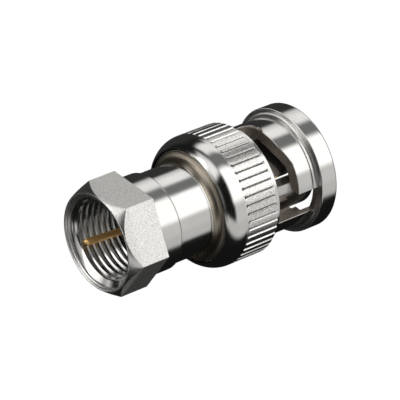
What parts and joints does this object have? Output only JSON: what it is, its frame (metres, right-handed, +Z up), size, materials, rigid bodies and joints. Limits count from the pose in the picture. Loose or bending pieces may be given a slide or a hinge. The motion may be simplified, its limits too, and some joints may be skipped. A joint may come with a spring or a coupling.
{
  "type": "bayonet plug to f plug coaxial adapter",
  "caption": "Coaxial adapter: a sprung bayonet plug with a knurled coupling ring on one end, a screw-on F plug with a hexagon nut on the other.",
  "frame": {"origin": "centre of the bayonet ring's mouth, which the part stands on", "axes": "+Z up the common axis to the F end; -Y is the side that the picture shows"},
  "size_m": [0.015, 0.015, 0.0292],
  "materials": {
    "body_nickel": "polished nickel plating",
    "nut_nickel": "satin nickel plating on the flats, bright turned collar",
    "ring_nickel": "polished nickel plating, knurled band",
    "contact_nickel": "bright nickel plating",
    "pin_brass": "bright drawn wire",
    "contact_gold": "gold-plated, turned",
    "f_insulator": "moulded",
    "bayonet_insulator": "turned white plastic",
    "gasket_rubber": "moulded rubber",
    "spring_steel": "rolled strip"
  },
  "bodies": {
    "root": {"body_shell": "body_nickel", "f_post": "contact_nickel", "f_insulator": "f_insulator", "f_pin": "pin_brass", "bayonet_pin": "contact_gold", "bayonet_insulator": "bayonet_insulator", "outer_contact": "contact_nickel", "mating_gasket": "gasket_rubber", "front_thrust_washer": "spring_steel", "front_wave_washer": "spring_steel", "rear_wave_washer": "spring_steel"},
    "nut": {"f_nut": "nut_nickel"},
    "ring_float": {"rear_thrust_washer": "spring_steel"},
    "ring": {"bayonet_ring": "ring_nickel"}
  },
  "joints": [
    {"name": "nut_spin", "type": "hinge", "parent": "root", "child": "nut", "pos_m": [0, 0, 0.021], "axis": [0, 0, 1], "continuous": true},
    {"name": "ring_slide", "type": "slide", "parent": "root", "child": "ring_float", "axis": [0, 0, -1], "range_m": [0, 0.0012], "stiffness_N_per_m": 3000, "deforming": ["front_wave_washer", "rear_wave_washer"]},
    {"name": "ring_spin", "type": "hinge", "parent": "ring_float", "child": "ring", "pos_m": [0, 0, 0.0125], "axis": [0, 0, 1], "continuous": true}
  ]
}
